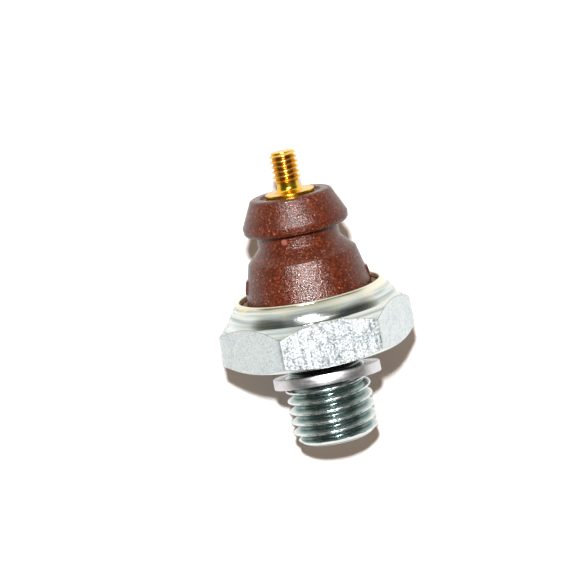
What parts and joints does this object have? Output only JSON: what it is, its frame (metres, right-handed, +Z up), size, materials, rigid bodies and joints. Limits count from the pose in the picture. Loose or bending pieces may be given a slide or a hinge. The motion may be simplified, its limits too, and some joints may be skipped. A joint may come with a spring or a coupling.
{
  "type": "pressure switch",
  "caption": "single-terminal oil pressure switch: threaded spigot with a loose sealing washer, plated hexagonal body crimped over a brown phenolic insulator, brass stud terminal, and the sprung contact inside",
  "frame": {"origin": "On the switch's axis, in the plane of the hex's underside, which is the plane the washer is clamped to when the switch is screwed in.", "axes": "+Z runs up the axis from the threaded spigot to the stud terminal. One flat of the hex faces -Y and another faces +Y, and two corners lie on the X axis."},
  "size_m": [0.0278, 0.024, 0.0412],
  "materials": {
    "hex_housing": "zinc-plated steel, turned and crimped",
    "sealing_washer": "plain washer metal",
    "insulator": "moulded brown phenolic, speckled, slightly glossy",
    "crimp_gasket": "brown fibre gasket",
    "terminal_stud": "turned brass",
    "stud_clamp_washer": "plain steel",
    "stud_seal": "nitrile O-ring",
    "diaphragm_seal": "nitrile sheet",
    "diaphragm": "amber polyimide film",
    "diaphragm_backing": "amber polyimide film",
    "pressure_plate": "plain steel",
    "ground_contact_plate": "stamped brass",
    "plunger": "natural nylon",
    "contact_disc": "phosphor bronze",
    "contact_tip_1": "silver contact rivet",
    "contact_tip_2": "silver contact rivet",
    "contact_tip_3": "silver contact rivet",
    "set_spring": "spring steel wire"
  },
  "bodies": {
    "switch_body": {"hex_housing": "hex_housing", "insulator": "insulator", "crimp_gasket": "crimp_gasket", "terminal_stud": "terminal_stud", "stud_clamp_washer": "stud_clamp_washer", "stud_seal": "stud_seal", "diaphragm_seal": "diaphragm_seal", "diaphragm": "diaphragm", "diaphragm_backing": "diaphragm_backing", "ground_contact_plate": "ground_contact_plate", "set_spring": "set_spring"},
    "washer": {"sealing_washer": "sealing_washer"},
    "pusher": {"plunger": "plunger", "pressure_plate": "pressure_plate"},
    "moving_contact": {"contact_disc": "contact_disc", "contact_tip_1": "contact_tip_1", "contact_tip_2": "contact_tip_2", "contact_tip_3": "contact_tip_3"}
  },
  "joints": [
    {"name": "washer_slide", "type": "slide", "parent": "switch_body", "child": "washer", "axis": [0, 0, 1], "range_m": [-0.0108, 0.0016]},
    {"name": "plunger_lift", "type": "slide", "parent": "switch_body", "child": "pusher", "axis": [0, 0, 1], "range_m": [0, 0.0007], "stiffness_N_per_m": 1500, "springref_m": -0.0033, "deforming": ["diaphragm", "diaphragm_backing"]},
    {"name": "contact_lift", "type": "slide", "parent": "switch_body", "child": "moving_contact", "axis": [0, 0, 1], "range_m": [0, 0.0007], "deforming": ["set_spring"]}
  ],
  "couplings": [
    {"joint": "contact_lift", "follows": "plunger_lift", "ratio": 1}
  ]
}
